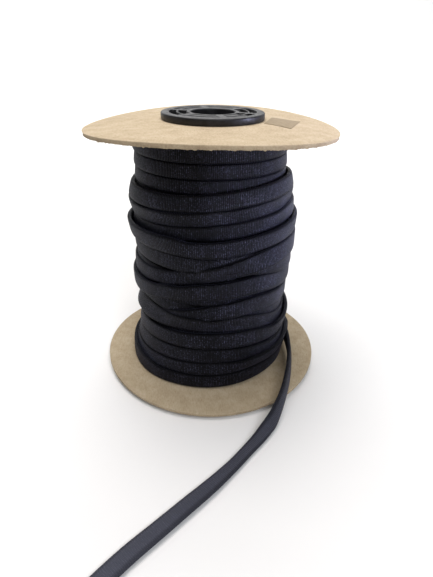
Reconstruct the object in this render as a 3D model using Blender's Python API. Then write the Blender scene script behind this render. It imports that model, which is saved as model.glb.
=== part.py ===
# A standing spool of flat tubular cord with one loose end.
# Metres, +Z up. The origin is at the middle of the spool's foot, on the surface that it stands on.

import math

import bmesh
import bpy
import numpy as np

# Clearances
GAP = 0.0003

# Board discs at both ends, die-cut from grey board and a little bowed
DISC_RADIUS = 0.075
DISC_HOLE_RADIUS = 0.0223
BOARD = 0.0020
DISC_FLAT_RADIUS = 0.031
DISC_BOWED_FROM = 0.050
DISC_SEGMENTS = 56
DISC_RINGS = (DISC_HOLE_RADIUS, DISC_FLAT_RADIUS, 0.0405, DISC_BOWED_FROM, DISC_RADIUS)
# How far the edge bends down on the X axis, on the Y axis and across the diagonal
TOP_BOW = dict(x=0.0048, y=0.0010, diagonal=-0.0012)
BOTTOM_BOW = dict(x=-0.0010, y=0.0010, diagonal=0.0)

# Moulded core halves
HEAD_RADIUS = 0.0306
HEAD_HEIGHT = 0.0037
HEAD_CHAMFER = 0.0004
BORE_RADIUS = 0.0130
INNER_PLATE = 0.0046
BARREL_RADIUS = 0.0220
BARREL_WALL = 0.0018
CORE_SEGMENTS = 48
WINDOWS = 6
WINDOW_DEPTH = 0.0026
WINDOW_BANDS = ((0.0156, 0.0199), (0.0223, 0.0257))
SPOKE = 0.0040
WINDOW_STEPS = 5

# Heights of the stack, from the foot up
BOTTOM_DISC_FACE = HEAD_HEIGHT + GAP + BOARD
TOP_DISC_FACE = 0.1652
HEIGHT = TOP_DISC_FACE + GAP + HEAD_HEIGHT

# The cord and its winding
CORD_WIDTH = 0.0105
CORD_THICKNESS = 0.0030
WINDING_BORE = BARREL_RADIUS + GAP
WINDING_LOW = 0.0070
WINDING_HIGH = 0.1603
PACKED_RADIUS = 0.0440
WINDING_COLUMNS = 56
WINDING_ROWS = 58
LAY_COLUMNS = 112
LAY_ROWS = 154

# Under layer, wound upwards: its first and last turn's height and its number of turns
UNDER_LAYER = dict(low=0.0126, high=0.1540, turns=16)

# Outer layer, wound downwards: a row for each turn, with the height of the cord's middle
# at five places round the front, from right to left, and how far it stands out, in millimetres
STATIONS = (-30.0, -60.0, -90.0, -120.0, -150.0)
OUTER_LAYER = [
    dict(right=136.1, mid_right=133.3, front=130.3, mid_left=128.2, left=127.9, out_right=0.0, out_left=0.3),
    dict(right=126.0, mid_right=123.5, front=120.7, mid_left=118.3, left=117.5, out_right=0.5, out_left=0.9),
    dict(right=117.7, mid_right=115.5, front=112.8, mid_left=110.7, left=110.2, out_right=2.2, out_left=1.0),
    dict(right=108.2, mid_right=106.5, front=104.6, mid_left=104.9, left=105.7, out_right=3.4, out_left=1.2),
    dict(right=97.0, mid_right=95.6, front=93.8, mid_left=94.5, left=94.3, out_right=1.4, out_left=0.4),
    dict(right=96.8, mid_right=94.2, front=89.3, mid_left=84.4, left=81.6, out_right=0.8, out_left=1.6),
    dict(right=78.6, mid_right=79.2, front=77.0, mid_left=74.0, left=69.0, out_right=2.8, out_left=1.7),
    dict(right=67.7, mid_right=65.5, front=62.7, mid_left=57.6, left=53.9, out_right=2.4, out_left=-0.6),
    dict(right=49.2, mid_right=53.0, front=54.5, mid_left=54.0, left=53.0, out_right=3.2, out_left=0.0),
    dict(right=38.0, mid_right=41.8, front=43.5, mid_left=42.6, left=41.6, out_right=3.8, out_left=0.6),
    dict(right=27.8, mid_right=31.1, front=32.2, mid_left=30.7, left=29.5, out_right=2.4, out_left=1.4),
    dict(right=18.2, mid_right=21.7, front=21.6, mid_left=20.4, left=19.4, out_right=0.3, out_left=1.0),
    dict(right=16.3, mid_right=16.2, front=14.2, mid_left=12.9, left=12.6, out_right=1.4, out_left=5.2),
]

# How far the last turn stands out where it leaves as the loose end
LAST_OUT = 0.0025

# The loose end: the middle of the cord from where it leaves the winding, in millimetres,
# and its turn about its own line, from standing on edge (90) to lying flat (0)
LOOSE_END = [
    dict(x=55.6, y=-7.0, z=23.6, turn=90.0),
    dict(x=54.6, y=-17.0, z=19.6, turn=88.0),
    dict(x=53.9, y=-27.0, z=17.2, turn=86.0),
    dict(x=52.3, y=-36.0, z=15.6, turn=82.0),
    dict(x=50.3, y=-45.0, z=14.2, turn=74.0),
    dict(x=47.8, y=-53.5, z=13.2, turn=64.0),
    dict(x=44.9, y=-61.5, z=12.2, turn=52.0),
    dict(x=41.4, y=-69.5, z=10.9, turn=40.0),
    dict(x=37.2, y=-77.5, z=9.0, turn=28.0),
    dict(x=31.6, y=-85.5, z=6.4, turn=16.0),
    dict(x=24.5, y=-93.5, z=3.7, turn=7.0),
    dict(x=15.5, y=-102.5, z=2.2, turn=2.0),
    dict(x=5.0, y=-113.0, z=1.9, turn=0.0),
    dict(x=-7.5, y=-125.0, z=1.9, turn=0.0),
    dict(x=-20.5, y=-137.0, z=1.9, turn=0.0),
    dict(x=-33.5, y=-149.0, z=1.9, turn=0.0),
    dict(x=-45.5, y=-160.5, z=1.9, turn=0.0),
    dict(x=-56.5, y=-172.5, z=1.9, turn=0.0),
    dict(x=-66.0, y=-185.0, z=1.9, turn=0.0),
]
LOOSE_END_POINTS = 56

MM = 0.001


def clear_scene():
    """Remove every object of the scene."""
    for thing in list(bpy.data.objects):
        bpy.data.objects.remove(thing, do_unlink=True)


def material(name, colour, roughness, metallic=0.0):
    """A Principled material of one colour."""
    made = bpy.data.materials.new(name)
    made.use_nodes = True
    shader = made.node_tree.nodes["Principled BSDF"]
    shader.inputs["Base Color"].default_value = (*colour, 1.0)
    shader.inputs["Roughness"].default_value = roughness
    shader.inputs["Metallic"].default_value = metallic
    return made


def add_object(name, mesh, paint):
    """Put a mesh into the scene under its own name, with one material."""
    made = bpy.data.objects.new(name, mesh)
    bpy.context.scene.collection.objects.link(made)
    if paint is not None:
        mesh.materials.append(paint)
    return made


def mesh_from_bmesh(name, work):
    """Turn a bmesh into a closed, outward, smooth-shaded mesh."""
    bmesh.ops.recalc_face_normals(work, faces=work.faces)
    mesh = bpy.data.meshes.new(name)
    work.to_mesh(mesh)
    work.free()
    mesh.shade_smooth()
    mesh.set_sharp_from_angle(angle=math.radians(40.0))
    return mesh


def smooth_step(value, low, high):
    """Rise from 0 at low to 1 at high with level ends."""
    t = np.clip((value - low) / (high - low), 0.0, 1.0)
    return t * t * (3.0 - 2.0 * t)


def bow(x, y, bend):
    """How far a bowed disc lies below its middle at x, y."""
    reach = smooth_step(math.hypot(x, y), DISC_FLAT_RADIUS, DISC_BOWED_FROM)
    u = x / DISC_RADIUS
    v = y / DISC_RADIUS
    return reach * (bend["x"] * u * u + bend["y"] * v * v + bend["diagonal"] * u * v)


def board_disc(name, face_height, bend, paint):
    """A bowed board disc with a round hole; face_height is its upper face at the middle."""
    work = bmesh.new()
    angles = [2.0 * math.pi * k / DISC_SEGMENTS for k in range(DISC_SEGMENTS)]
    layers = []
    for drop in (0.0, BOARD):
        rings = []
        for radius in DISC_RINGS:
            ring = []
            for angle in angles:
                x = radius * math.cos(angle)
                y = radius * math.sin(angle)
                ring.append(work.verts.new((x, y, face_height - drop - bow(x, y, bend))))
            rings.append(ring)
        layers.append(rings)
    upper, lower = layers
    strips = list(zip(upper, upper[1:])) + list(zip(lower, lower[1:]))
    strips += [(upper[0], lower[0]), (upper[-1], lower[-1])]
    for first, second in strips:
        for k in range(DISC_SEGMENTS):
            n = (k + 1) % DISC_SEGMENTS
            work.faces.new((first[k], first[n], second[n], second[k]))
    return add_object(name, mesh_from_bmesh(name, work), paint)


def core_body(name):
    """The turned body of a core half, its outer face at z = 0 and its barrel downwards."""
    end = -(HEIGHT / 2.0 - GAP / 2.0)
    inner = BARREL_RADIUS - BARREL_WALL
    profile = [
        (BARREL_RADIUS, end),
        (BARREL_RADIUS, -HEAD_HEIGHT),
        (HEAD_RADIUS, -HEAD_HEIGHT),
        (HEAD_RADIUS, -HEAD_CHAMFER),
        (HEAD_RADIUS - HEAD_CHAMFER, 0.0),
        (BORE_RADIUS + HEAD_CHAMFER, 0.0),
        (BORE_RADIUS, -HEAD_CHAMFER),
        (BORE_RADIUS, -INNER_PLATE),
        (inner, -INNER_PLATE),
        (inner, end),
    ]
    work = bmesh.new()
    points = [work.verts.new((r, 0.0, z)) for r, z in profile]
    edges = [work.edges.new((points[k], points[(k + 1) % len(points)])) for k in range(len(points))]
    bmesh.ops.spin(
        work,
        geom=points + edges,
        cent=(0.0, 0.0, 0.0),
        axis=(0.0, 0.0, 1.0),
        angle=2.0 * math.pi,
        steps=CORE_SEGMENTS,
        use_duplicate=False,
        use_merge=True,
    )
    return mesh_from_bmesh(name, work)


def window_outline(middle, inner_radius, outer_radius):
    """The corners of one window, between two spokes of even width."""
    corners = []
    for radius, way in ((inner_radius, 1.0), (outer_radius, -1.0)):
        half = math.pi / WINDOWS - math.asin(SPOKE / 2.0 / radius)
        for k in range(WINDOW_STEPS + 1):
            angle = middle + way * half * (2.0 * k / WINDOW_STEPS - 1.0)
            corners.append((radius * math.cos(angle), radius * math.sin(angle)))
    return corners


def window_cutter(name):
    """All windows of a core half as upright blocks that reach through its outer face."""
    work = bmesh.new()
    for k in range(WINDOWS):
        for inner_radius, outer_radius in WINDOW_BANDS:
            outline = window_outline(2.0 * math.pi * k / WINDOWS, inner_radius, outer_radius)
            floor = work.faces.new([work.verts.new((x, y, -WINDOW_DEPTH)) for x, y in outline])
            raised = bmesh.ops.extrude_face_region(work, geom=[floor])
            moved = [item for item in raised["geom"] if isinstance(item, bmesh.types.BMVert)]
            bmesh.ops.translate(work, verts=moved, vec=(0.0, 0.0, 2.0 * WINDOW_DEPTH))
    made = add_object(name, mesh_from_bmesh(name, work), None)
    made.hide_render = True
    made.display_type = "WIRE"
    return made


def core_half(name, height, upside_down, paint):
    """A core half with its six window recesses, its outer face at the given height."""
    made = add_object(name, core_body(name), paint)
    cutter = window_cutter(name + "_windows")
    for piece in (made, cutter):
        piece.location = (0.0, 0.0, height)
        piece.rotation_euler = (math.pi if upside_down else 0.0, 0.0, 0.0)
    cut = made.modifiers.new("windows", "BOOLEAN")
    cut.operation = "DIFFERENCE"
    cut.object = cutter
    return made


def smooth_round(values, steps):
    """Average each value with its neighbours, steps to each side, holding the ends."""
    weights = np.hanning(2 * steps + 3)[1:-1]
    padded = np.concatenate([np.full(steps, values[0]), values, np.full(steps, values[-1])])
    return np.convolve(padded, weights / weights.sum(), mode="valid")


def lay_path():
    """Height of the cord's middle and how far it stands out, a value for each column of each turn."""
    names = ("right", "mid_right", "front", "mid_left", "left")
    under = UNDER_LAYER["turns"]
    angles = []
    heights = []
    stand = []
    for turn in range(under):
        angles.append(-360.0 * turn)
        heights.append(np.interp(turn, [0, under - 1], [UNDER_LAYER["low"], UNDER_LAYER["high"]]))
        stand.append(0.0)
    angles.append(-360.0 * under + 150.0)
    heights.append(UNDER_LAYER["high"])
    stand.append(0.0)
    for turn, row in enumerate(OUTER_LAYER):
        for station, name in zip(STATIONS, names):
            share = (STATIONS[0] - station) / (STATIONS[0] - STATIONS[-1])
            angles.append(-360.0 * (under + turn) + station)
            heights.append(row[name] * MM)
            stand.append((row["out_right"] * (1.0 - share) + row["out_left"] * share) * MM)
    angles.append(-360.0 * (under + len(OUTER_LAYER)))
    heights.append(LOOSE_END[0]["z"] * MM)
    stand.append(LAST_OUT)
    turns = under + len(OUTER_LAYER)
    walk = np.arange(turns * LAY_COLUMNS) * (360.0 / LAY_COLUMNS)
    travel = -np.array(angles)
    steps = LAY_COLUMNS // 24
    height = smooth_round(np.interp(walk, travel, heights), steps)
    lift = smooth_round(np.interp(walk, travel, stand), steps)
    return height.reshape(turns, LAY_COLUMNS), lift.reshape(turns, LAY_COLUMNS)


def lay_cord():
    """Lay turn on turn: each rests on what is under its two edges and adds its own thickness.

    Returns the rows' heights and the winding's radius for each row and column."""
    rows = np.linspace(WINDING_LOW, WINDING_HIGH, LAY_ROWS)
    field = np.full((LAY_ROWS, LAY_COLUMNS), PACKED_RADIUS)
    heights, lifts = lay_path()
    half = CORD_WIDTH / 2.0
    for height, lift in zip(heights, lifts):
        across = (rows[:, None] - height[None, :]) / half
        seats = []
        for side in (1.0, -1.0):
            near = np.exp(-((across - 0.62 * side) / 0.30) ** 2)
            seats.append((near * field).sum(axis=0) / near.sum(axis=0))
        steps = LAY_COLUMNS // 18
        upper, lower = [smooth_round(seat, steps) for seat in seats]
        middle = (upper + lower) / 2.0 + lift
        slope = np.clip((upper - lower) / 2.0 / 0.62, -0.0016, 0.0016)
        crown = np.clip(1.0 - np.abs(across) ** 4, 0.0, 1.0) ** 0.5
        surface = middle + slope * across + CORD_THICKNESS * (0.5 + 0.5 * crown)
        field = np.where(np.abs(across) < 1.0, np.maximum(field, surface), field)
    return rows, field


def soften(field):
    """Average the winding's radius over its near rows and columns, so coarse facets keep its ridges."""
    up = np.vstack([field[:1], field[:-1]])
    down = np.vstack([field[1:], field[-1:]])
    field = (up + 2.0 * field + down) / 4.0
    return (np.roll(field, 1, axis=1) + 2.0 * field + np.roll(field, -1, axis=1)) / 4.0


def winding(name, rows, field, paint):
    """The wound form: a bored body whose outer surface follows the laid turns."""
    work = bmesh.new()
    every = LAY_COLUMNS // WINDING_COLUMNS
    levels = np.linspace(WINDING_LOW, WINDING_HIGH, WINDING_ROWS)
    soft = soften(field)
    rings = []
    for level in levels:
        ring = []
        for k in range(WINDING_COLUMNS):
            radius = np.interp(level, rows, soft[:, k * every])
            angle = -2.0 * math.pi * k / WINDING_COLUMNS
            ring.append(work.verts.new((radius * math.cos(angle), radius * math.sin(angle), level)))
        rings.append(ring)
    for level in (WINDING_HIGH, WINDING_LOW):
        ring = []
        for k in range(WINDING_COLUMNS):
            angle = -2.0 * math.pi * k / WINDING_COLUMNS
            x = WINDING_BORE * math.cos(angle)
            y = WINDING_BORE * math.sin(angle)
            ring.append(work.verts.new((x, y, level)))
        rings.append(ring)
    for first, second in zip(rings, rings[1:] + rings[:1]):
        for k in range(WINDING_COLUMNS):
            n = (k + 1) % WINDING_COLUMNS
            work.faces.new((first[k], first[n], second[n], second[k]))
    return add_object(name, mesh_from_bmesh(name, work), paint)


def smooth_route(rows, count):
    """Even points on a Catmull-Rom curve through the route's rows, with their turns."""
    knots = np.array([[row["x"] * MM, row["y"] * MM, row["z"] * MM, row["turn"]] for row in rows])
    knots = np.vstack([2.0 * knots[0] - knots[1], knots, 2.0 * knots[-1] - knots[-2]])
    fine = []
    for a, b, c, d in zip(knots, knots[1:], knots[2:], knots[3:]):
        for t in np.linspace(0.0, 1.0, 12, endpoint=False):
            cubic = -a + 3.0 * b - 3.0 * c + d
            square = 2.0 * a - 5.0 * b + 4.0 * c - d
            fine.append(0.5 * (2.0 * b + (c - a) * t + square * t * t + cubic * t ** 3))
    fine.append(knots[-2])
    fine = np.array(fine)
    length = np.concatenate([[0.0], np.cumsum(np.linalg.norm(np.diff(fine[:, :3], axis=0), axis=1))])
    even = np.linspace(0.0, length[-1], count)
    return np.column_stack([np.interp(even, length, fine[:, k]) for k in range(4)])


def cord_section(name):
    """The flat cord's outline as a closed guide curve, its width along X."""
    shape = bpy.data.curves.new(name, "CURVE")
    shape.dimensions = "2D"
    outline = shape.splines.new("POLY")
    half = CORD_WIDTH / 2.0
    thick = CORD_THICKNESS / 2.0
    corners = [(half, 0.0), (0.86 * half, 0.8 * thick), (0.55 * half, thick), (-0.55 * half, thick)]
    corners += [(-0.86 * half, 0.8 * thick)]
    corners += [(-x, -y) for x, y in corners]
    outline.points.add(len(corners) - 1)
    for point, (x, y) in zip(outline.points, reversed(corners)):
        point.co = (x, y, 0.0, 1.0)
    outline.use_cyclic_u = True
    made = add_object(name, shape, None)
    made.hide_render = True
    made.display_type = "WIRE"
    return made


def loose_end(name, paint):
    """The free stretch of the cord, which turns from standing on edge to lying flat."""
    route = smooth_route(LOOSE_END, LOOSE_END_POINTS)
    line = bpy.data.curves.new(name, "CURVE")
    line.dimensions = "3D"
    line.twist_mode = "Z_UP"
    line.bevel_mode = "OBJECT"
    line.bevel_object = cord_section(name + "_section")
    line.use_fill_caps = True
    spline = line.splines.new("POLY")
    spline.points.add(len(route) - 1)
    for point, (x, y, z, turn) in zip(spline.points, route):
        point.co = (x, y, z, 1.0)
        point.tilt = math.radians(turn)
    return add_object(name, line, paint)


def build():
    """Make every piece of the spool."""
    clear_scene()
    kraft = material("kraft board", (0.62, 0.49, 0.32), 0.9)
    shaded_kraft = material("grey board", (0.45, 0.37, 0.27), 0.9)
    plastic = material("black moulded plastic", (0.03, 0.03, 0.032), 0.45)
    plastic_below = material("black moulded plastic, lower half", (0.028, 0.028, 0.03), 0.45)
    wound = material("black wound cord", (0.014, 0.014, 0.018), 0.7)
    free = material("black loose cord", (0.018, 0.018, 0.022), 0.7)
    core_half("core_bottom", 0.0, True, plastic_below)
    board_disc("disc_bottom", BOTTOM_DISC_FACE, BOTTOM_BOW, shaded_kraft)
    rows, field = lay_cord()
    winding("winding", rows, field, wound)
    board_disc("disc_top", TOP_DISC_FACE, TOP_BOW, kraft)
    core_half("core_top", HEIGHT, False, plastic)
    loose_end("loose_end", free)


build()
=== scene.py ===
import math

import bpy
import numpy as np
from mathutils import Matrix, Vector


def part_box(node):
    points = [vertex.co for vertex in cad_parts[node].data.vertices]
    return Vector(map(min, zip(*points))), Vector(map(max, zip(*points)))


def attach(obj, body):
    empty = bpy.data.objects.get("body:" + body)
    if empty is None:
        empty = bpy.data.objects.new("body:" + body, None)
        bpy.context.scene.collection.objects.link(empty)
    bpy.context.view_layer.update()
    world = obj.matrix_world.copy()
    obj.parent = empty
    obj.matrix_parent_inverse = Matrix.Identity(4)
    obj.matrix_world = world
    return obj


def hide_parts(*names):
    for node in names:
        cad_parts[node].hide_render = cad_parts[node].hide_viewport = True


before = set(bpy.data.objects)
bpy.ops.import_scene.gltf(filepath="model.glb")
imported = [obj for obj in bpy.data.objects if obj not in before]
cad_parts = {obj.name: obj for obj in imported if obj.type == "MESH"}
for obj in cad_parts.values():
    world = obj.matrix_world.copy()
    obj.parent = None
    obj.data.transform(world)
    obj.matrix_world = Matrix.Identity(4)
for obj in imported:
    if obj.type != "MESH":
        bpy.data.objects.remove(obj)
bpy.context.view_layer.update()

mm = 0.001
print("frame loaded:", ", ".join(sorted(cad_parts)))


# one colour from its sRGB hex value to linear red, green, blue and alpha: value / 12.92 near black, and
# ((value + 0.055) / 1.055) to the power 2.4 above
def linearColour(hexValue):
    parts = [int(hexValue[k:k + 2], 16) / 255.0 for k in (1, 3, 5)]
    return [p / 12.92 if p <= 0.04045 else ((p + 0.055) / 1.055) ** 2.4 for p in parts] + [1.0]


# adds a node: settings are its own properties; inputs are numbers, colours, another node's output or a node,
# which stands for its first output; stops are the places and hex colours of a ramp
def addNode(tree, kind, settings=None, inputs=None, stops=()):
    made = tree.nodes.new(kind)
    for name, value in (settings or {}).items():
        setattr(made, name, value)
    for name, value in (inputs or {}).items():
        if isinstance(value, bpy.types.Node):
            value = value.outputs[0]
        if isinstance(value, bpy.types.NodeSocket):
            tree.links.new(value, made.inputs[name])
        else:
            made.inputs[name].default_value = value
    if stops:
        elements = made.color_ramp.elements
        while len(elements) < len(stops):
            elements.new(0.5)
        for element, (place, hexValue) in zip(elements, stops):
            element.position = place
            element.color = linearColour(hexValue)
    return made


# a material with an empty node tree, to which each piece's own function adds its nodes
def startMaterial(name):
    made = bpy.data.materials.new(name)
    made.use_nodes = True
    made.node_tree.nodes.clear()
    return made, made.node_tree


# a mesh object from an array of points (rows, columns, 3): each point is joined to the next row and column;
# closedRows and closedColumns join the last back to the first, capped closes both open ends of a tube
def gridObject(name, points, closedRows=False, closedColumns=True, capped=False, uv=None, values=None):
    rows, columns = points.shape[:2]
    down = np.arange(rows if closedRows else rows - 1)
    over = np.arange(columns if closedColumns else columns - 1)
    i, j = np.meshgrid(down, over, indexing="ij")
    i2, j2 = (i + 1) % rows, (j + 1) % columns
    quads = np.stack([i * columns + j, i * columns + j2, i2 * columns + j2, i2 * columns + j], axis=-1)
    quads = quads.reshape(-1, 4)
    faces = quads.tolist()
    if capped:
        faces.append(list(range(columns))[::-1])
        faces.append([(rows - 1) * columns + k for k in range(columns)])
    mesh = bpy.data.meshes.new(name)
    mesh.from_pydata(points.reshape(-1, 3).tolist(), [], faces)
    mesh.update()
    if uv is not None:
        # worked out for each corner, so that the last column doesn't run back over the pattern
        along, around = uv
        cornerUv = np.stack([
            np.stack([along[i], along[i], along[i2], along[i2]], axis=-1),
            np.stack([around[j], around[j + 1], around[j + 1], around[j]], axis=-1),
        ], axis=-1).reshape(-1, 2)
        layer = mesh.uv_layers.new(name="lengthAndRound")
        flat = np.zeros((len(mesh.loops), 2))
        flat[:len(cornerUv)] = cornerUv
        if capped:
            flat[len(cornerUv):len(cornerUv) + columns] = (along[0], 0.0)
            flat[len(cornerUv) + columns:] = (along[-1], 0.0)
        layer.data.foreach_set("uv", flat.ravel())
    for key, array in (values or {}).items():
        attribute = mesh.attributes.new(name=key, type="FLOAT", domain="POINT")
        attribute.data.foreach_set("value", np.asarray(array, dtype=float).ravel())
    # faces outwards: the signed volume is the sum of the corners' triple products, taken from the middle
    corners = (points - points.mean(axis=(0, 1))).reshape(-1, 3)[quads]
    volume = np.sum(corners[:, 0] * np.cross(corners[:, 1], corners[:, 2]))
    if closedColumns and volume < 0.0:
        mesh.flip_normals()
    mesh.shade_smooth()
    mesh.set_sharp_from_angle(angle=math.radians(50))
    made = bpy.data.objects.new(name, mesh)
    bpy.context.scene.collection.objects.link(made)
    return made


# gives a piece its material and its body, and hides the CAD nodes that it stands for; slotName is not used
def dress(piece, material, slotName, *nodes):
    piece.data.materials.append(material)
    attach(piece, "root")
    if nodes:
        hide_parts(*nodes)


# a sum of a few sine waves round the circle or along a line, seeded, between about -1 and 1
def waviness(angle, waves, seed):
    random = np.random.default_rng(seed)
    total = np.zeros_like(angle, dtype=float)
    for count in waves:
        total += np.sin(count * angle + random.uniform(0, 2 * math.pi)) * random.uniform(0.5, 1.0)
    return total / len(waves)


# rises from 0 at low to 1 at high with level ends: 3 t^2 - 2 t^3
def smoothStep(value, low, high):
    t = np.clip((value - low) / (high - low), 0.0, 1.0)
    return t * t * (3.0 - 2.0 * t)


# averages each value with its neighbours, steps to each side, weighed by a raised cosine, holding the ends
def smoothAlong(values, steps):
    weights = np.hanning(2 * steps + 3)[1:-1]
    padded = np.concatenate([np.full(steps, values[0]), values, np.full(steps, values[-1])])
    return np.convolve(padded, weights / weights.sum(), mode="valid")


# vectors divided by their lengths
def unit(vectors):
    return vectors / np.linalg.norm(vectors, axis=-1, keepdims=True)


# distance along a line of points, from 0 at its first point
def lengthAlong(points):
    return np.concatenate([[0.0], np.cumsum(np.linalg.norm(np.diff(points, axis=0), axis=1))])


# camera: place, sensor and clip in millimetres and angles in degrees, found from the outlines of both discs
cameraView = {
    "place": (-8.87, -272.81, 203.69),
    "down": 29.14,
    "turned": 2.62,
    "rolled": 0.84,
    "focalPixels": 440.0,
    "frameHeight": 577.0,
    "sensor": 36.0,
    "clipStart": 10.0,
}


# the camera's axes: forwards from the two angles, right level, then both turned about the line of sight
def makeCamera(view):
    down, turned, rolled = (math.radians(view[k]) for k in ("down", "turned", "rolled"))
    forwards = Vector((math.sin(turned) * math.cos(down), math.cos(turned) * math.cos(down), -math.sin(down)))
    levelRight = Vector((math.cos(turned), -math.sin(turned), 0.0))
    levelUp = levelRight.cross(forwards)
    right = levelRight * math.cos(rolled) + levelUp * math.sin(rolled)
    up = levelUp * math.cos(rolled) - levelRight * math.sin(rolled)
    data = bpy.data.cameras.new("camera")
    data.sensor_width = view["sensor"]
    data.lens = view["focalPixels"] / view["frameHeight"] * view["sensor"]
    data.clip_start = view["clipStart"] * mm
    made = bpy.data.objects.new("camera", data)
    turn = Matrix((right, up, -forwards)).transposed().to_4x4()
    made.matrix_world = Matrix.Translation(Vector(view["place"]) * mm) @ turn
    bpy.context.scene.collection.objects.link(made)
    bpy.context.scene.camera = made


makeCamera(cameraView)
print("camera set")


# the cord: its section in millimetres, how square it is (2 is an oval), the points round it,
# and how much its width varies along it
cord = {
    "width": 10.5,
    "thick": 3.0,
    "squareness": 4.2,
    "looseSquareness": 2.2,
    "sectionPoints": 24,
    "underSectionPoints": 16,
    "underSwell": 0.02,
    "outerSwell": 0.025,
    "looseSwell": 0.02,
    "looseWidth": 0.96,
}


# section of the flat cord: |x/a|^n + |y/b|^n = 1, x across its width and y through its thickness
def cordSection(count, squareness):
    angle = np.linspace(0.0, 2.0 * math.pi, count, endpoint=False)
    power = 2.0 / squareness
    x = np.sign(np.cos(angle)) * np.abs(np.cos(angle)) ** power * cord["width"] * mm / 2.0
    y = np.sign(np.sin(angle)) * np.abs(np.sin(angle)) ** power * cord["thick"] * mm / 2.0
    return x, y


# carries the section along a path: each ring stands on its own across and outward directions;
# squeeze is the share of its half width that each ring has on its upper and on its lower side;
# slack goes from 0, the section of the pressed turns, to 1, the rounder one of the loose end
def sweepCord(centres, across, outward, count, swell, squeeze=None, slack=0.0):
    slack = np.zeros((len(centres), 1)) + np.reshape(slack, (-1, 1))
    x, y = ((1.0 - slack) * tight + slack * loose for tight, loose in zip(
        cordSection(count, cord["squareness"]), cordSection(count, cord["looseSquareness"])))
    wide = x * swell[:, None]
    if squeeze is not None:
        wide = wide * np.where(x > 0.0, squeeze[0][:, None], squeeze[1][:, None])
    deep = y[:, :, None] * outward[:, None, :] / swell[:, None, None] ** 0.5
    return centres[:, None, :] + wide[:, :, None] * across[:, None, :] + deep


# UV map of a cord: length along its ring centres in metres, and share of the way round its section
def lengthAndRound(centres, count):
    x, y = cordSection(count, cord["squareness"])
    around = lengthAlong(np.stack([np.append(x, x[0]), np.append(y, y[0])], axis=-1))
    return lengthAlong(centres), around / around[-1]


# loose end: the route of its middle in millimetres from where it leaves the roll, its turn about its own
# line in degrees, from standing on edge (90) to lying flat (0), and its width as a share of the full width:
# the hollow tube curls up a little where it turns over
looseEnd = {
    "points": [
        (53.9, -4.0, 18.4, 90.0, 1.00),
        (54.4, -12.7, 17.8, 87.7, 1.00),
        (54.1, -21.5, 17.2, 85.2, 1.00),
        (53.3, -30.6, 16.6, 82.0, 1.00),
        (51.4, -40.3, 15.7, 79.0, 1.00),
        (48.9, -50.2, 14.5, 77.0, 1.00),
        (45.7, -59.8, 12.9, 75.0, 1.00),
        (42.1, -68.4, 10.8, 72.0, 1.00),
        (38.3, -75.7, 8.5, 65.0, 0.98),
        (34.5, -82.0, 6.3, 53.0, 0.92),
        (30.1, -87.4, 4.8, 37.0, 0.82),
        (25.0, -93.2, 3.4, 19.0, 0.73),
        (18.1, -100.6, 2.6, 5.0, 0.70),
        (9.1, -110.6, 2.5, -4.0, 0.76),
        (-2.1, -121.7, 2.5, -8.0, 0.90),
        (-15.1, -133.4, 2.5, -9.0, 0.98),
        (-28.5, -145.4, 2.4, -7.5, 1.00),
        (-42.2, -157.6, 2.2, -5.0, 1.00),
        (-54.7, -170.4, 2.0, -2.5, 1.00),
        (-66.1, -183.8, 1.8, 0.0, 1.00),
    ],
    "ringStep": 0.8,
    # numbers of rings over which it gets slack, and shares of painted light on the flat end reached over two
    # stretches
    "slackening": (5, 50),
    "looseEndLighting": ((0.72, 20, 130), (0.28, 130, 290)),
    "bridgeSteps": 8,
    "bridgeBlend": 60,
}


# even points on a smooth curve through the route's points: a cubic between each two of them, whose slope
# at each is half of the step between its neighbours
def smoothRoute(points, step):
    knots = np.array(points) * (mm, mm, mm, 1.0, 1.0)
    knots = np.vstack([2.0 * knots[0] - knots[1], knots, 2.0 * knots[-1] - knots[-2]])
    t = np.linspace(0.0, 1.0, 24, endpoint=False)[None, :, None]
    a, b, c, d = (knots[k:len(knots) - 3 + k][:, None, :] for k in range(4))
    square = 2.0 * a - 5.0 * b + 4.0 * c - d
    cubic = -a + 3.0 * b - 3.0 * c + d
    fine = (0.5 * (2.0 * b + (c - a) * t + square * t ** 2 + cubic * t ** 3)).reshape(-1, 5)
    fine = np.vstack([fine, knots[-2]])
    length = lengthAlong(fine[:, :3])
    even = np.linspace(0.0, length[-1], int(round(length[-1] / (step * mm))) + 1)
    return np.column_stack([np.interp(even, length, fine[:, k]) for k in range(5)])


# rings of the loose end and their width shares: across turns by the route's angle from level, when it lies
# flat, to upright, when it stands on edge
def looseRings():
    route = smoothRoute(looseEnd["points"], looseEnd["ringStep"])
    centres = route[:, :3]
    heading = unit(np.gradient(centres, axis=0))
    level = unit(np.cross(heading, (0.0, 0.0, 1.0)))
    upright = np.cross(level, heading)
    turn = np.radians(route[:, 3])[:, None]
    across = level * np.cos(turn) + upright * np.sin(turn)
    outward = upright * np.cos(turn) - level * np.sin(turn)
    return (centres, across, outward), route[:, 4]


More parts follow.
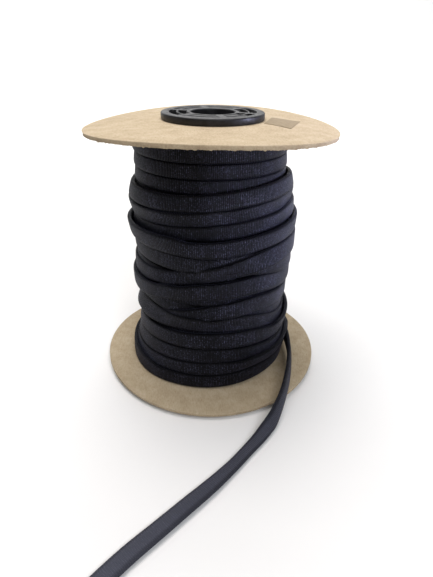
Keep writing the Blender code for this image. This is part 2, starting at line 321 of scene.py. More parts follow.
# the roll: where the cord's middle runs, turn by turn, in millimetres
# under turns run level round the front and climb behind; middle turns climb over their lower part;
# outer turns come back down, a row for each turn with the height at five places round the front
# from right to left and then how far it stands out at the right and at the left
roll = {
    "low": 7.0,
    "high": 160.3,
    "packedRadius": 44.0,
    "underTurns": 18,
    "underLow": 12.6,
    "underHigh": 153.4,
    "underStations": (-20.0, -160.0),
    "underOut": (-2.2, 0.2),
    "underWidth": 8.8,
    "stations": (-30.0, -60.0, -90.0, -120.0, -150.0),
    "middleTurns": [
        (12.0, 12.6, 13.4, 14.2, 15.0, -1.0, 2.0),
        (21.0, 21.8, 22.6, 23.6, 24.4, -2.0, -1.2),
        (30.2, 31.0, 31.8, 32.6, 33.4, -2.0, -2.4),
        (39.0, 39.8, 40.8, 41.8, 42.6, -2.0, -2.4),
        (47.6, 48.6, 49.8, 51.0, 52.0, -2.0, -2.4),
        (53.0, 54.6, 58.0, 63.4, 66.0, -1.6, -1.0),
        (68.6, 69.6, 70.6, 72.0, 73.0, -2.0, -1.2),
        (77.4, 78.4, 79.8, 81.0, 82.0, -2.0, -1.2),
        (85.4, 90.6, 93.2, 94.6, 95.4, 3.0, -2.4),
        (97.6, 98.8, 100.0, 101.0, 102.0, -2.0, -2.4),
        (106.0, 107.0, 108.0, 109.0, 110.0, -2.0, -2.4),
        (113.6, 114.4, 115.2, 116.0, 117.0, -2.0, -2.4),
        (119.0, 119.6, 120.0, 120.4, 121.0, -2.0, -2.4),
    ],
    "outerTurns": [
        (133.2, 132.0, 129.2, 127.4, 126.8, 1.5, 1.0),
        (124.3, 123.9, 122.4, 119.6, 118.0, -1.6, -0.4),
        (117.6, 115.6, 113.2, 111.1, 108.4, -0.4, -1.2),
        (108.5, 107.0, 104.0, 105.0, 104.4, 2.5, 1.7),
        (97.0, 95.6, 93.8, 94.5, 94.3, 0.9, -0.9),
        (96.5, 95.7, 89.5, 81.6, 79.0, -0.3, -1.7),
        (74.8, 79.3, 77.0, 75.2, 69.8, 1.6, 0.3),
        (61.4, 65.3, 62.0, 55.6, 49.4, 0.7, -0.6),
        (43.8, 51.9, 53.8, 53.5, 52.6, -0.8, -1.8),
        (38.4, 41.1, 41.7, 40.0, 37.8, 1.3, -0.5),
        (24.4, 28.2, 30.7, 28.6, 26.7, 1.2, -0.5),
        (21.2, 22.0, 20.5, 20.4, 17.3, 0.3, -0.6),
        (14.6, 13.4, 12.0, 11.7, 11.9, -0.6, 1.0),
    ],
    "tuck": 3.5,
    "tuckedOver": 25.0,   # degrees
    # how far a turn's foot stands out, its steepest lean, the gap left between pressed turns, and the
    # distances between turns over which crossing goes over into pressing
    "footOut": 0.5,
    "steepest": 2.2,
    "groove": 0.06,
    "crossing": (6.6, 7.6),
    "lastHeight": 18.8,
    "lastOut": 1.2,
    "lastLean": -0.3,
    "wobble": 0.22,
    # the fine grid that the turns are laid on: columns round the roll, and how many of them are averaged
    "columns": 264,
    "heightAverage": 11,
    "seatAverage": 14,
    "lastLeanOver": 33,
    "rowStep": 0.5,
    # where a turn rests, as a share of its half width from its middle, and how far that seat spreads
    "seatAt": 0.62,
    "seatSpread": 0.30,
}


# even values for each column of each turn, between the stations (angle, height, out) straight and then
# smoothed; the first piece of the layer sinks into the roll, where its cord comes up from under it
def layerPath(stations, turns, seed):
    angles, heights, outs = np.array(stations).T
    walk = np.arange(turns * roll["columns"]) * (360.0 / roll["columns"])
    height = smoothAlong(np.interp(walk, -angles, heights), roll["heightAverage"])
    height = height + roll["wobble"] * waviness(np.radians(walk), (1.37, 2.21, 3.83, 6.1), seed)
    out = smoothAlong(np.interp(walk, -angles, outs), roll["heightAverage"])
    out = out - roll["tuck"] * (1.0 - smoothStep(walk, 0.0, roll["tuckedOver"]))
    shape = (turns, roll["columns"])
    return walk.reshape(shape), height.reshape(shape) * mm, out.reshape(shape) * mm


# the under layer, and then the middle and outer turns as one run that ends where the loose end starts
def layPath():
    under = roll["underTurns"]
    rise = (roll["underHigh"] - roll["underLow"]) / (under - 1)
    stations = []
    for turn in range(under):
        # only the topmost turns, which show, lie further in at the right
        top = np.clip((turn - under + 5) / 2.0, 0.0, 1.0)
        for station, out in zip(roll["underStations"], roll["underOut"]):
            stations.append((-360.0 * turn + station, roll["underLow"] + rise * turn, out * top))
    stations.append((-360.0 * under + 140.0, roll["underHigh"], 0.0))
    stations.append((-360.0 * under + 60.0, roll["underHigh"] - 4.0, -roll["tuck"]))
    layers = [layerPath(stations, under, 11)]
    first, last = roll["stations"][0], roll["stations"][-1]
    laid = roll["middleTurns"] + roll["outerTurns"]
    stations = []
    for turn, row in enumerate(laid):
        for station, height in zip(roll["stations"], row):
            share = (first - station) / (first - last)
            stations.append((-360.0 * turn + station, height, row[5] * (1.0 - share) + row[6] * share))
    stations.append((-360.0 * len(laid), roll["lastHeight"], roll["lastOut"]))
    layers.append(layerPath(stations, len(laid), 12))
    return [np.concatenate(parts) for parts in zip(*layers)]


# turns that lie side by side closer than the cord is wide press each other narrower, up to the middle
# between them; turns much closer than that cross, and stay as wide as they are
def squeezeTurns(heights, first, last, upwards):
    half = cord["width"] * mm / 2.0
    shares = np.ones((2,) + heights.shape)
    gap = np.abs(np.diff(heights[first:last], axis=0))
    share = np.clip((gap / 2.0 - roll["groove"] * mm) / half, 0.0, 1.0)
    share = 1.0 + (share - 1.0) * smoothStep(gap / mm, *roll["crossing"])
    above, below = slice(first, last - 1), slice(first + 1, last)
    if not upwards:
        above, below = below, above
    shares[0, above] = share
    shares[1, below] = share
    return shares


# lays turn on turn: each rests on what is under its two edges and raises the roll by its own thickness;
# gives the radius of the cord's middle and its lean (change of radius over half its width) for each column
def layCord():
    walk, heights, outs = layPath()
    columns, seatAt, steepest = roll["columns"], roll["seatAt"], roll["steepest"] * mm
    rows = np.arange(roll["low"], roll["high"], roll["rowStep"]) * mm
    field = np.full((len(rows), columns), roll["packedRadius"] * mm)
    thick = cord["thick"] * mm
    middles, leans = [], []
    for turn, (height, out) in enumerate(zip(heights, outs)):
        half = (roll["underWidth"] if turn < roll["underTurns"] else cord["width"]) * mm / 2.0
        across = (rows[:, None] - height[None, :]) / half
        seats = []
        for side in (1.0, -1.0):
            near = np.exp(-((across - seatAt * side) / roll["seatSpread"]) ** 2)
            seat = (near * field).sum(axis=0) / near.sum(axis=0)
            seats.append(smoothAlong(seat, roll["seatAverage"]))
        lean = np.clip((seats[0] - seats[1]) / 2.0 / seatAt, -steepest, steepest)
        middle = np.maximum(seats[0] - seatAt * lean, seats[1] + seatAt * lean) + out
        # the lower edge of each turn stands a little over the turn below it
        lean = lean - roll["footOut"] * mm
        if turn == len(heights) - 1:
            # the last turn stands off the roll, foot outwards
            over = smoothStep(np.arange(columns), 0, roll["lastLeanOver"])
            lean = lean + (roll["lastLean"] * mm - lean) * over
        crown = np.clip(1.0 - np.abs(across) ** 4, 0.0, 1.0) ** 0.5
        surface = middle + lean * across + thick * (0.5 + 0.5 * crown)
        field = np.where(np.abs(across) < 1.0, np.maximum(field, surface), field)
        middles.append(middle + thick / 2.0)
        leans.append(lean)
    return walk, heights, np.array(middles), np.array(leans)


# rings of the wound cord from walk (degrees), height, radius and lean: upright but for the lean
def woundRings(walk, height, radius, lean):
    turn = -np.radians(walk)
    radial = np.stack([np.cos(turn), np.sin(turn), np.zeros_like(turn)], axis=-1)
    upwards = np.array([0.0, 0.0, 1.0])
    slope = (lean / (cord["width"] * mm / 2.0))[:, None]
    centres = radial * radius[:, None] + upwards * height[:, None]
    return centres, unit(radial * slope + upwards), unit(radial - upwards * slope)


# knitted polyester tube, dyed black: satin filament yarn in fine cross ribs; single yarns glint, partly as
# painted highlights in the colour and partly as the lamp on the ribs' relief, and the folded edges and the
# grooves are painted shade, deep black
cordFinish = {
    "yarn": "#0c0c0f",
    "yarnLit": "#15151a",
    "groove": "#030304",
    # glint: painted highlight of single yarns
    "glint": "#4c4d61",
    # painted light: the loose end lies flat under the light from above and is drawn this lighter grey, by
    # this share
    "looseEndLitGrey": "#595b68",
    "looseEndLitShare": 0.75,
    # sizes in millimetres; the real ribs are about 0.8 mm, drawn a little coarser so that they show
    "ribPitch": 1.0,
    "ribHeight": 0.24,
    "ribDrift": 0.8,
    "driftSize": 16.667,
    "grain": 0.42,
    "glintSize": 0.9,
    "patchSize": 11.111,
    # painted shade at the folded edges: how dark, where it starts across the section, and how much less on
    # the loose end
    "edgeShade": 0.92,
    "edgeFrom": (0.79, 0.95),
    "looseEdge": 0.55,
    "roughness": 0.46,
    "specular": 0.07,
    "sheen": 0.12,
    "sheenRoughness": 0.45,
    "sheenTint": "#9295b4",
}


# colour and relief of the cord: tone = 0.60 grain + 0.50 glints + 0.25 patches + 0.26 rib - 0.28 sets the
# colour on a ramp, rib is a sine wave along the length whose troughs are painted shade, glints are painted
# highlights, and both edges of the section are darkened with painted shade
def makeCordMaterial():
    finish = cordFinish
    made, tree = startMaterial("knittedPolyesterBlack")
    uv = addNode(tree, "ShaderNodeUVMap", {"uv_map": "lengthAndRound"})
    split = addNode(tree, "ShaderNodeSeparateXYZ", inputs={"Vector": uv})
    place = addNode(tree, "ShaderNodeTexCoord")
    looseEndPaintedLight = addNode(tree, "ShaderNodeAttribute", {"attribute_name": "looseEndPaintedLight"})
    part = {"along": split.outputs["X"], "around": split.outputs["Y"], "looseEndPaintedLight": looseEndPaintedLight.outputs["Fac"]}
    # a slow drift shifts the ribs a little, as stretched knitting does; grain is the mottled tone of single
    # yarns, glints are painted highlights of single yarns, and patches are slow wear
    for name, size, detail, roughness in (
            ("drift", finish["driftSize"], 1.0, 0.5), ("grain", finish["grain"], 2.0, 0.6),
            ("patches", finish["patchSize"], 2.0, 0.5), ("glints", finish["glintSize"], 1.0, 0.5)):
        part[name] = addNode(tree, "ShaderNodeTexNoise", inputs={
            "Vector": place.outputs["Object"], "Scale": 1.0 / (size * mm), "Detail": detail,
            "Roughness": roughness})
    # sums in order: name, operation and terms, which are numbers or the names of what is already there;
    # toEdge is 1 at the folded edges of the tube and 0 over the middle of both faces
    for name, operation, *terms in (
            ("shifted", "MULTIPLY_ADD", "drift", finish["ribDrift"] * mm, "along"),
            ("turned", "MULTIPLY", "shifted", 2.0 * math.pi / (finish["ribPitch"] * mm)),
            ("wave", "SINE", "turned"),
            # the rib's share of the tone darkens its troughs: painted shade of the ribs' relief
            ("rib", "MULTIPLY_ADD", "wave", 0.5, 0.5),
            ("grainTone", "MULTIPLY_ADD", "grain", 0.60, -0.28),
            ("glintTone", "MULTIPLY_ADD", "glints", 0.50, "grainTone"),
            ("patchTone", "MULTIPLY_ADD", "patches", 0.25, "glintTone"),
            ("tone", "MULTIPLY_ADD", "rib", 0.26, "patchTone"),
            ("greyer", "MULTIPLY", "looseEndPaintedLight", finish["looseEndLitShare"]),
            ("roundAngle", "MULTIPLY", "around", 2.0 * math.pi),
            ("acrossShare", "COSINE", "roundAngle"),
            ("toEdge", "ABSOLUTE", "acrossShare"),
            ("edgeAmount", "MULTIPLY_ADD", "looseEndPaintedLight", -finish["looseEdge"], finish["edgeShade"]),
            ("relief", "MULTIPLY_ADD", "grain", 0.8, "rib")):
        part[name] = addNode(tree, "ShaderNodeMath", {"operation": operation, "use_clamp": name == "tone"}, {
            k: part.get(term, term) for k, term in enumerate(terms)})
    # the ramp runs from groove, painted shade, through yarn and the lighter yarnLit to glint, a painted
    # highlight
    colour = addNode(tree, "ShaderNodeValToRGB", inputs={"Fac": part["tone"]}, stops=[
        (0.18, finish["groove"]), (0.46, finish["yarn"]), (0.64, finish["yarnLit"]), (0.80, finish["glint"])])
    # the loose end is painted lighter grey: painted light from above where it lies flat, unstretched
    opened = addNode(tree, "ShaderNodeMix", {"data_type": "RGBA"}, {
        "Factor": part["greyer"], 6: colour, 7: linearColour(finish["looseEndLitGrey"])})
    # painted shade: where toEdge nears 1, at the folded edges, the colour is mixed towards the groove colour,
    # less on the loose end
    shade = addNode(tree, "ShaderNodeMapRange", {"interpolation_type": "SMOOTHSTEP"}, {
        "Value": part["toEdge"], "From Min": finish["edgeFrom"][0], "From Max": finish["edgeFrom"][1],
        "To Min": 0.0, "To Max": part["edgeAmount"]})
    darkened = addNode(tree, "ShaderNodeMix", {"data_type": "RGBA"}, {
        "Factor": shade, 6: opened.outputs[2], 7: linearColour(finish["groove"])})
    bump = addNode(tree, "ShaderNodeBump", inputs={
        "Height": part["relief"], "Strength": 1.0, "Distance": finish["ribHeight"] * mm})
    shader = addNode(tree, "ShaderNodeBsdfPrincipled", inputs={
        "Base Color": darkened.outputs[2],
        "Normal": bump,
        "Roughness": finish["roughness"],
        "IOR": 1.5,
        "Specular IOR Level": finish["specular"],
        "Sheen Weight": finish["sheen"],
        "Sheen Roughness": finish["sheenRoughness"],
        "Sheen Tint": linearColour(finish["sheenTint"]),
    })
    addNode(tree, "ShaderNodeOutputMaterial", inputs={"Surface": shader})
    return made


cordMaterial = makeCordMaterial()


# rings from the last wound one to the loose end's first one: the centres on a cubic that leaves and arrives
# along their headings, the two directions turned over evenly
def bridgeRings(outer, loose):
    t = np.linspace(0.0, 1.0, looseEnd["bridgeSteps"] + 1, endpoint=False)[1:, None]
    start, end = outer[0][-1], loose[0][0]
    span = np.linalg.norm(end - start)
    leave = unit(outer[0][-1] - outer[0][-4]) * span
    arrive = unit(loose[0][3] - loose[0][0]) * span
    centres = ((2 * t ** 3 - 3 * t ** 2 + 1) * start + (t ** 3 - 2 * t ** 2 + t) * leave
               + (3 * t ** 2 - 2 * t ** 3) * end + (t ** 3 - t ** 2) * arrive)
    turned = [unit(outer[k][-1] * (1 - t) + loose[k][0] * t) for k in (1, 2)]
    return [centres] + turned


# the wound cord: under turns, middle turns and outer turns, the last led over into the loose end's first
# ring, and the loose end; each is the section swept along its rings
def makeCordPieces():
    walk, heights, radii, leans = layCord()
    under = roll["underTurns"]
    outerStart = under + len(roll["middleTurns"])
    squeeze = np.minimum(squeezeTurns(heights, 0, under, True),
                         squeezeTurns(heights, outerStart, len(heights), False))
    count = cord["underSectionPoints"]
    for name, part in (("underTurns", slice(0, under)), ("middleTurns", slice(under, outerStart))):
        # every second ring is enough where the cord is mostly covered; the last ring meets the next run
        rings = woundRings(*(values[part].reshape(-1) for values in (walk, heights, radii, leans)))
        picked = np.append(np.arange(0, len(rings[0]) - 1, 2), len(rings[0]) - 1)
        rings = [values[picked] for values in rings]
        swell = 1.0 + cord["underSwell"] * waviness(picked * 0.015, (1.0, 2.3, 3.1), 5)
        pressed = squeeze[:, part].reshape(2, -1)[:, picked]
        piece = gridObject(name, sweepCord(*rings, count, swell, pressed), capped=True,
                           uv=lengthAndRound(rings[0], count))
        dress(piece, cordMaterial, "cord")

    count = cord["sectionPoints"]
    outer = woundRings(*(values[outerStart:].reshape(-1) for values in (walk, heights, radii, leans)))
    loose, looseShare = looseRings()
    rings = [np.vstack([wound, between, free[:1]])
             for wound, between, free in zip(outer, bridgeRings(outer, loose), loose)]
    total = len(rings[0])
    blend = smoothStep(np.arange(total)[::-1], 0, looseEnd["bridgeBlend"])
    swell = 1.0 + cord["outerSwell"] * waviness(np.arange(total) * 0.02, (1.0, 2.3, 3.7, 5.2), 7) * blend
    pressed = np.ones((2, total))
    pressed[:, :len(outer[0])] = squeeze[:, outerStart:].reshape(2, -1)
    pressed = np.array([smoothAlong(side, 3) for side in pressed])
    pressed = 1.0 + (pressed - 1.0) * blend
    outerPiece = gridObject("outerTurns", sweepCord(*rings, count, swell, pressed), capped=True,
                            uv=lengthAndRound(rings[0], count))
    dress(outerPiece, cordMaterial, "cord", "winding")

    ring = np.arange(len(loose[0]))
    swell = cord["looseWidth"] + cord["looseSwell"] * waviness(ring * 0.03, (1.0, 2.7, 4.1), 9)
    swell = 1.0 + (swell - 1.0) * smoothStep(ring, 0, looseEnd["bridgeBlend"])
    slack = smoothStep(ring, *looseEnd["slackening"])
    # painted light: the loose end's lighter grey and its weaker edge shade grow over these rings
    looseEndPaintedLight = sum(share * smoothStep(ring, low, high) for share, low, high in looseEnd["looseEndLighting"])
    loosePiece = gridObject(
        "looseEnd", sweepCord(*loose, count, swell * looseShare, slack=slack), capped=True,
        uv=lengthAndRound(loose[0], count), values={"looseEndPaintedLight": np.repeat(looseEndPaintedLight[:, None], count, axis=1)})
    dress(loosePiece, cordMaterial, "cord", "loose_end")


makeCordPieces()


# what fills the roll under its under turns, in millimetres: the ends of earlier turns, seen only as a dark
# stepped stack
packed = {
    "inner": 22.4,
    "outer": 43.8,
    "turn": 10.4,
    "groove": 0.9,
    "clear": 0.2,
    "columns": 160,
    "rows": 150,
}


# a turned wall whose radius dips by the groove depth at each turn's edge, closed by two rings at the bore
def makePackedTurns():
    height = np.linspace(roll["low"] + packed["clear"], roll["high"] - packed["clear"], packed["rows"])
    dip = np.abs(np.sin(math.pi * height / packed["turn"])) ** 0.35
    radius = packed["outer"] - packed["groove"] * (1.0 - dip)
    radius = np.concatenate([[packed["inner"]], radius, [packed["inner"]]])
    height = np.concatenate([[height[0]], height, [height[-1]]])
    turn = np.linspace(0.0, 2.0 * math.pi, packed["columns"], endpoint=False)
    points = np.stack([
        radius[:, None] * np.cos(turn), radius[:, None] * np.sin(turn),
        np.repeat(height[:, None], len(turn), axis=1)], axis=-1) * mm
    made = gridObject("packedTurns", points, closedRows=True, uv=(height * mm, np.full(len(turn) + 1, 0.25)))
    dress(made, cordMaterial, "cord")


makePackedTurns()


# board discs, in millimetres: the radii of their rings and how far the edge bends down on the X axis, on the
# Y axis and across; the upper disc is trimmed and its rim moved along X; the torn lip that the die left under
# the edge is a ragged wave with tufts; fray is how far the cut edge stands out (in, if below 0) and how much
# the raggedness adds, and smallLip the same for the lower disc
board = {
    "rings": (22.4, 26.0, 31.0, 34.0, 37.5, 41.0, 44.5, 48.0, 52.0, 57.0, 63.0, 69.0),
    "outerRing": 73.5,
    "thick": 2.0,
    "flatRadius": 31.0,
    "bowedFrom": 50.0,
    "topBow": (4.8, 0.6, -1.2),
    "topTrim": 0.7,
    "topShift": -0.7,
    "bottomBow": (-1.0, 1.0, 0.0),
    "bottomFace": 6.0,
    "raggedLip": 0.5,
    "tuftLip": 1.1,
    "fray": (-0.8, 0.2),
    "smallLip": (0.05, 0.12),
    "columns": 900,
    "edgeRound": 0.18,
}


# how far the disc lies below its middle, from the squares of the place on it
def bowAt(x, y, bend, radius):
    reach = smoothStep(np.hypot(x, y), board["flatRadius"], board["bowedFrom"])
    u, v = x / radius, y / radius
    return reach * (bend[0] * u * u + bend[1] * v * v + bend[2] * u * v)


# a bowed disc: its profile runs from the hole over the face, round the edge and back underneath;
# lip is how far the torn edge hangs down at each column and frays how far it stands out
def makeBoardDisc(name, node, face, bend, lip, frays, material, trim=0.0, shift=0.0):
    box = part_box(node)
    radius = (box[1][0] - box[0][0]) / 2.0 / mm - trim
    turn = np.linspace(0.0, 2.0 * math.pi, board["columns"], endpoint=False)
    rounding, thick = board["edgeRound"], board["thick"]
    # columns of the profile: radius, depth below the face, share of the lip's drop, share of the fray
    profile = [(ring, 0.0, 0.0, 0.0) for ring in board["rings"] + (board["outerRing"],)]
    profile += [
        (radius - rounding * 2.0, 0.0, 0.0, 0.0),
        (radius - rounding * 0.6, 0.05, 0.0, 0.3),
        (radius - rounding * 0.1, rounding, 0.0, 0.6),
        (radius, thick * 0.35, 0.0, 0.8),
        (radius, thick * 0.60, 0.0, 1.0),
        (radius, thick * 0.85, 0.35, 1.2),
        (radius - 0.05, thick, 0.75, 1.0),
        (radius - 0.25, thick + 0.02, 1.0, 0.6),
        (radius - 0.55, thick, 0.80, 0.2),
        (radius - 1.0, thick, 0.25, 0.0),
        (radius - 1.8, thick, 0.0, 0.0),
    ]
    profile += [(ring, thick, 0.0, 0.0) for ring in board["rings"][::-1]]
    r, drop, lipShare, frayShare = (np.array(column)[:, None] for column in zip(*profile))
    reach = r + frayShare * frays[None, :]
    x, y = reach * np.cos(turn), reach * np.sin(turn)
    z = face - bowAt(x, y, bend, radius) - drop - lipShare * lip[None, :]
    x = x + shift * smoothStep(reach, board["flatRadius"], board["bowedFrom"])
    points = np.stack([x, y, z], axis=-1) * mm
    torn = np.clip(lipShare + 0.8 * (frayShare > 0.7), 0.0, 1.0) * np.ones_like(x)
    dress(gridObject(name, points, closedRows=True, values={"torn": torn}), material, "board", node)


# grey board faced with kraft paper: matt, warm tan with fine pale and dark fibres; its cut edge is greyer
boardFinish = {
    "face": "#c4b296",
    "faceLight": "#d3c3aa",
    "faceDark": "#b19e82",
    "fleck": "#8f7650",
    "fleckShare": 0.35,
    "edge": "#b9a88c",
    "edgeDark": "#94826a",
    # sizes in millimetres; real fibres are finer than 0.1 mm thick, drawn in clumps so that they show
    "cloud": 8.333,
    "fibre": 0.9,
    "fibreHeight": 0.08,
    "fleckSize": 1.6,
    "roughness": 0.92,
    "specular": 0.25,
}


# the lower disc's paper is painted darker: painted shade, where the upper disc shades it
shadedBoard = dict(boardFinish, face="#b1a187", faceLight="#bfb19a", faceDark="#a08f75")


# colour = ramp of 0.55 clouds + 0.55 fibres - 0.06, with flecks near the cells' middles, and the torn edge
# on a ramp of its own; the fibres also stand out a little
def makeBoardMaterial(name, finish):
    made, tree = startMaterial(name)
    place = addNode(tree, "ShaderNodeTexCoord")
    clouds = addNode(tree, "ShaderNodeTexNoise", inputs={
        "Vector": place.outputs["Object"], "Scale": 1.0 / (finish["cloud"] * mm), "Detail": 4.0,
        "Roughness": 0.65})
    stretched = addNode(tree, "ShaderNodeMapping", inputs={
        "Vector": place.outputs["Object"], "Scale": (1.0, 0.35, 1.0), "Rotation": (0.0, 0.0, 0.5)})
    fibres = addNode(tree, "ShaderNodeTexNoise", inputs={
        "Vector": stretched, "Scale": 1.0 / (finish["fibre"] * mm), "Detail": 3.0, "Roughness": 0.7})
    flecks = addNode(tree, "ShaderNodeTexVoronoi", inputs={
        "Vector": stretched, "Scale": 1.0 / (finish["fleckSize"] * mm)})
    cloudTone = addNode(tree, "ShaderNodeMath", {"operation": "MULTIPLY_ADD"}, {0: clouds, 1: 0.55, 2: -0.06})
    tone = addNode(tree, "ShaderNodeMath", {"operation": "MULTIPLY_ADD", "use_clamp": True}, {
        0: fibres, 1: 0.55, 2: cloudTone})
    face = addNode(tree, "ShaderNodeValToRGB", inputs={"Fac": tone}, stops=[
        (0.30, finish["faceDark"]), (0.50, finish["face"]), (0.72, finish["faceLight"])])
    fleckAmount = addNode(tree, "ShaderNodeMapRange", inputs={
        "Value": flecks, "From Min": 0.10, "From Max": 0.22, "To Min": finish["fleckShare"], "To Max": 0.0})
    speckled = addNode(tree, "ShaderNodeMix", {"data_type": "RGBA"}, {
        "Factor": fleckAmount, 6: face, 7: linearColour(finish["fleck"])})
    torn = addNode(tree, "ShaderNodeAttribute", {"attribute_name": "torn"})
    edge = addNode(tree, "ShaderNodeValToRGB", inputs={"Fac": tone}, stops=[
        (0.35, finish["edgeDark"]), (0.65, finish["edge"])])
    mixed = addNode(tree, "ShaderNodeMix", {"data_type": "RGBA"}, {
        "Factor": torn.outputs["Fac"], 6: speckled.outputs[2], 7: edge})
    bump = addNode(tree, "ShaderNodeBump", inputs={
        "Height": fibres, "Strength": 0.35, "Distance": finish["fibreHeight"] * mm})
    shader = addNode(tree, "ShaderNodeBsdfPrincipled", inputs={
        "Base Color": mixed.outputs[2], "Normal": bump, "Roughness": finish["roughness"], "IOR": 1.45,
        "Specular IOR Level": finish["specular"]})
    addNode(tree, "ShaderNodeOutputMaterial", inputs={"Surface": shader})
    return made


# the torn lip: a ragged drop of up to about 1.5 mm, strongest round the front, least at the back
def makeDiscs():
    turn = np.linspace(0.0, 2.0 * math.pi, board["columns"], endpoint=False)
    ragged = np.abs(waviness(turn, (41, 67, 113, 157, 211, 263), 21))
    ragged += 0.8 * np.abs(waviness(turn, (13, 23, 31), 22))
    tufts = np.clip(waviness(turn, (57, 89, 131), 23), 0.25, 1.0) - 0.25
    front = 0.25 + 0.75 * smoothStep(-np.sin(turn), 0.2, 0.8)
    lip = (board["raggedLip"] * ragged + board["tuftLip"] * tufts) * front
    fray = board["fray"][0] + board["fray"][1] * ragged * front
    makeBoardDisc("boardDiscTop", "disc_top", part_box("disc_top")[1][2] / mm, board["topBow"], lip, fray,
                  makeBoardMaterial("kraftFacedBoard", boardFinish), board["topTrim"], board["topShift"])
    small = board["smallLip"][0] + board["smallLip"][1] * np.abs(waviness(turn, (29, 61, 97, 151), 24))
    makeBoardDisc("boardDiscBottom", "disc_bottom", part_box("core_bottom")[0][2] / mm + board["bottomFace"],
                  board["bottomBow"], small, small, makeBoardMaterial("kraftFacedBoardShaded", shadedBoard))


makeDiscs()
print("board discs made")


# plain darker scrap of uncoated paper on the upper disc, matt with a faint mottle: its four corners in
# millimetres on the disc
scrap = {
    "corners": ((27.6, -18.1), (35.7, 6.6), (53.2, 6.2), (42.1, -23.0)),
    "thick": 0.12,
    "lift": 0.05,
    "steps": 24,
    "colour": "#9d8c70",
    "colourDark": "#918066",
    "mottle": 2.0,
    "roughness": 0.75,
}


# a thin film on the bowed face, its points shared out between the four corners; both sides follow the disc
def makeScrap():
    made, tree = startMaterial("plainPaperScrap")
    place = addNode(tree, "ShaderNodeTexCoord")
    mottle = addNode(tree, "ShaderNodeTexNoise", inputs={
        "Vector": place.outputs["Object"], "Scale": 1.0 / (scrap["mottle"] * mm), "Detail": 3.0})
    colour = addNode(tree, "ShaderNodeValToRGB", inputs={"Fac": mottle}, stops=[
        (0.35, scrap["colourDark"]), (0.65, scrap["colour"])])
    shader = addNode(tree, "ShaderNodeBsdfPrincipled", inputs={
        "Base Color": colour, "Roughness": scrap["roughness"], "IOR": 1.45})
    addNode(tree, "ShaderNodeOutputMaterial", inputs={"Surface": shader})
    share = np.linspace(0.0, 1.0, scrap["steps"])
    u, v = (values[..., None] for values in np.meshgrid(share, share, indexing="ij"))
    frontLeft, backLeft, backRight, frontRight = np.array(scrap["corners"])
    sheet = (1 - u) * ((1 - v) * frontLeft + v * backLeft) + u * ((1 - v) * frontRight + v * backRight)
    x, y = sheet[..., 0], sheet[..., 1]
    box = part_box("disc_top")
    radius = (box[1][0] - box[0][0]) / 2.0 / mm
    z = box[1][2] / mm - bowAt(x, y, board["topBow"], radius) + scrap["lift"]
    upper = np.stack([x, y, z + scrap["thick"]], axis=-1)
    lower = np.stack([x, y, z], axis=-1)
    points = np.concatenate([upper, lower[:, ::-1]], axis=1) * mm
    dress(gridObject("paperScrap", points, capped=True), made, "board")


makeScrap()


# core heads: turned profile in millimetres, with six windows between spokes;
# the windows are deep where the cosine of their angle passes sideways, and shallow elsewhere
core = {
    "bore": 13.0,
    "barrel": 22.0,
    "barrelWall": 1.8,
    "plate": 4.6,
    "headHeight": 3.7,
    "windows": 6,
    "windowDepth": (0.3, 2.6),
    "sideways": (0.78, 0.93),
    "bands": ((15.2, 20.3), (21.2, 25.5)),
    "turned": 12.0,   # degrees
    "headTrim": 0.4,
    "spoke": 4.0,
    "soft": 0.35,
    "edgeRound": 0.7,
    "bevel": 0.3,
    "fillet": 0.5,
    "faceMargin": 1.2,
    "faceStep": 0.175,
    "columns": 360,
}


# depth of the window recesses at a radius and angle: full between the spokes and inside a band,
# rising over a short soft edge to nothing at the spokes and rims
def windowDepth(radius, angle):
    soft = core["soft"]
    sector = 2.0 * math.pi / core["windows"]
    offset = (angle - math.radians(core["turned"]) + sector / 2.0) % sector - sector / 2.0
    toSpoke = (sector / 2.0 - np.abs(offset)) * radius - core["spoke"] / 2.0
    between = smoothStep(toSpoke, 0.0, soft)
    inBand = np.zeros_like(between)
    for inner, outer in core["bands"]:
        band = smoothStep(radius, inner, inner + soft) * (1.0 - smoothStep(radius, outer - soft, outer))
        inBand = np.maximum(inBand, band)
    shallow, deep = core["windowDepth"]
    atSides = smoothStep(np.abs(np.cos(angle)), *core["sideways"])
    return (shallow + (deep - shallow) * atSides) * between * inBand


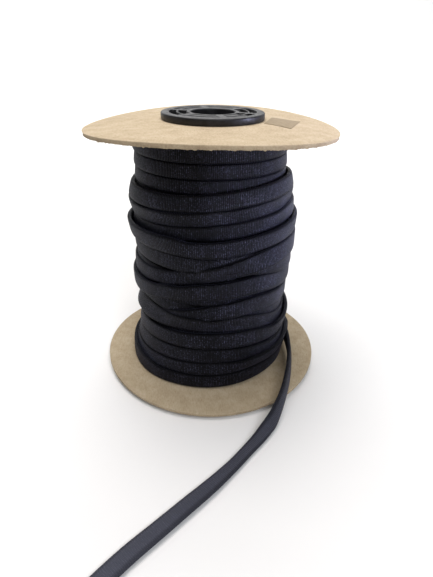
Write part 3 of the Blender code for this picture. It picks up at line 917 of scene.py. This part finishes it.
# one core half: profile points carried round the axis; the outer face sinks where the windows are;
# flip is -1 for the lower half, whose outer face is at the foot
def makeCoreHalf(name, node, flip, material):
    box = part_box(node)
    head = (box[1][0] - box[0][0]) / 2.0 / mm - core["headTrim"]
    outerFace = (box[1][2] if flip > 0 else box[0][2]) / mm
    end = (box[1][2] - box[0][2]) / mm
    bore, barrel, plate, under = core["bore"], core["barrel"], core["plate"], core["headHeight"]
    rounding, bevel, fillet, margin = core["edgeRound"], core["bevel"], core["fillet"], core["faceMargin"]
    inner = barrel - core["barrelWall"]
    quarter = np.radians(np.linspace(0, 90, 6))
    profile = [(bore, depth) for depth in (plate, 2.5, rounding)]
    profile += [(bore + rounding * (1 - math.cos(q)), rounding * (1 - math.sin(q))) for q in quarter[1:]]
    profile += [(r, 0.0) for r in np.arange(bore + margin, head - margin, core["faceStep"])]
    profile += [(head - rounding * (1 - math.sin(q)), rounding * (1 - math.cos(q))) for q in quarter]
    profile += [(head, 1.6), (head, under - bevel), (head - bevel, under)]
    profile += [(barrel + bevel, under), (barrel, under + bevel)]
    profile += [(barrel, end - bevel), (barrel - bevel, end), (inner + bevel, end), (inner, end - bevel)]
    profile += [(inner, plate + fillet), (inner - fillet, plate), (bore + bevel, plate)]
    radius, depth = (np.array(column)[:, None] for column in zip(*profile))
    angle = np.linspace(0.0, 2.0 * math.pi, core["columns"], endpoint=False)[None, :]
    sink = np.where(depth < 0.01, windowDepth(radius, angle), 0.0)
    z = outerFace - flip * (depth + sink)
    points = np.stack([radius * np.cos(angle), flip * radius * np.sin(angle), z], axis=-1) * mm
    dress(gridObject(name, points, closedRows=True), material, "core_plastic", node)


# injection-moulded black polystyrene: satin, with a fine spark-eroded grain and faint handling marks
plasticFinish = {
    "base": "#121214",
    "dusty": "#26262a",
    "specular": 0.25,
    # sizes in millimetres; the real grain is nearer 0.1 mm, drawn coarser so that it shows
    "grain": 0.35,
    "grainHeight": 0.05,
    "markSize": 3.846,
    "roughness": (0.34, 0.56),
}


# the marks set both the colour, from base to dusty, and the roughness; the grain is relief alone
def makePlasticMaterial():
    finish = plasticFinish
    made, tree = startMaterial("mouldedPolystyreneBlack")
    place = addNode(tree, "ShaderNodeTexCoord")
    grain = addNode(tree, "ShaderNodeTexNoise", inputs={
        "Vector": place.outputs["Object"], "Scale": 1.0 / (finish["grain"] * mm), "Detail": 3.0})
    marks = addNode(tree, "ShaderNodeTexNoise", inputs={
        "Vector": place.outputs["Object"], "Scale": 1.0 / (finish["markSize"] * mm), "Detail": 4.0,
        "Roughness": 0.7})
    colour = addNode(tree, "ShaderNodeValToRGB", inputs={"Fac": marks}, stops=[
        (0.42, finish["base"]), (0.75, finish["dusty"])])
    rough = addNode(tree, "ShaderNodeMapRange", inputs={
        "Value": marks, "From Min": 0.3, "From Max": 0.7, "To Min": finish["roughness"][0],
        "To Max": finish["roughness"][1]})
    bump = addNode(tree, "ShaderNodeBump", inputs={
        "Height": grain, "Strength": 0.3, "Distance": finish["grainHeight"] * mm})
    shader = addNode(tree, "ShaderNodeBsdfPrincipled", inputs={
        "Base Color": colour, "Roughness": rough, "Normal": bump, "IOR": 1.59,
        "Specular IOR Level": finish["specular"]})
    addNode(tree, "ShaderNodeOutputMaterial", inputs={"Surface": shader})
    return made


plasticMaterial = makePlasticMaterial()
makeCoreHalf("coreHalfTop", "core_top", 1.0, plasticMaterial)
makeCoreHalf("coreHalfBottom", "core_bottom", -1.0, plasticMaterial)
print("core halves made")


# studio: a white floor that runs up into a white wall far behind, soft light from above and the front right,
# light on the wall, and a small lamp at the right whose cone fades outwards and makes the ribs glint
studio = {
    "floorHalf": 2.4,
    "wallBend": 1.2,
    "floorColour": "#f4f4f4",
    "floorRoughness": 0.9,
    "floorSpecular": 0.2,
    "worldStrength": 0.15,
    "lights": [
        # name, kind, place and aim in metres, power in watts, colour and the lamp's own settings
        ("above", "AREA", (-0.20, 0.02, 1.40), (0.0, 0.0, 0.08), 12.9, "#fffaf6", {"size": 0.9}),
        ("key", "AREA", (0.34, -1.00, 1.10), (0.0, 0.0, 0.10), 9.5, "#f8faff", {"size": 0.6}),
        ("wall", "AREA", (0.0, 0.90, 1.70), (0.0, 2.40, 0.50), 40.0, "#ffffff", {"size": 1.0}),
        ("ribLight", "SPOT", (0.82, -0.16, 0.15), (0.0, 0.0, 0.108), 128.0, "#d6daff",
         {"spot_size": math.radians(8.5), "spot_blend": 1.0, "shadow_soft_size": 0.05}),
    ],
}


# a lamp that faces what it is aimed at
def addLight(name, kind, place, aim, power, colour, settings):
    data = bpy.data.lights.new(name, kind)
    data.energy = power
    data.color = linearColour(colour)[:3]
    for key, value in settings.items():
        setattr(data, key, value)
    light = bpy.data.objects.new(name, data)
    turn = (Vector(aim) - Vector(place)).to_track_quat("-Z", "Y").to_matrix().to_4x4()
    light.matrix_world = Matrix.Translation(place) @ turn
    bpy.context.scene.collection.objects.link(light)


# the floor's line runs level, then up a quarter circle into the wall; it is drawn out sideways
def makeStudio():
    made, tree = startMaterial("paleFloor")
    shader = addNode(tree, "ShaderNodeBsdfPrincipled", inputs={
        "Base Color": linearColour(studio["floorColour"]), "Roughness": studio["floorRoughness"],
        "Specular IOR Level": studio["floorSpecular"]})
    addNode(tree, "ShaderNodeOutputMaterial", inputs={"Surface": shader})
    half, bend = studio["floorHalf"], studio["wallBend"]
    arc = np.radians(np.linspace(0.0, 90.0, 25))
    y = np.concatenate([[-half], half - bend + bend * np.sin(arc), [half]])
    z = np.concatenate([[0.0], bend - bend * np.cos(arc), [half * 1.5]])
    x = np.array([-half * 1.5, half * 1.5])
    points = np.stack(np.broadcast_arrays(x[None, :], y[:, None], z[:, None]), axis=-1)
    floor = gridObject("floor", points, closedColumns=False)
    floor.data.flip_normals()
    floor.data.materials.append(made)
    world = bpy.data.worlds.new("studio")
    world.use_nodes = True
    background = world.node_tree.nodes["Background"]
    background.inputs["Color"].default_value = (1.0, 1.0, 1.0, 1.0)
    background.inputs["Strength"].default_value = studio["worldStrength"]
    bpy.context.scene.world = world
    for values in studio["lights"]:
        addLight(*values)
    bpy.context.scene.view_settings.view_transform = "Standard"


makeStudio()

print("scene ready")
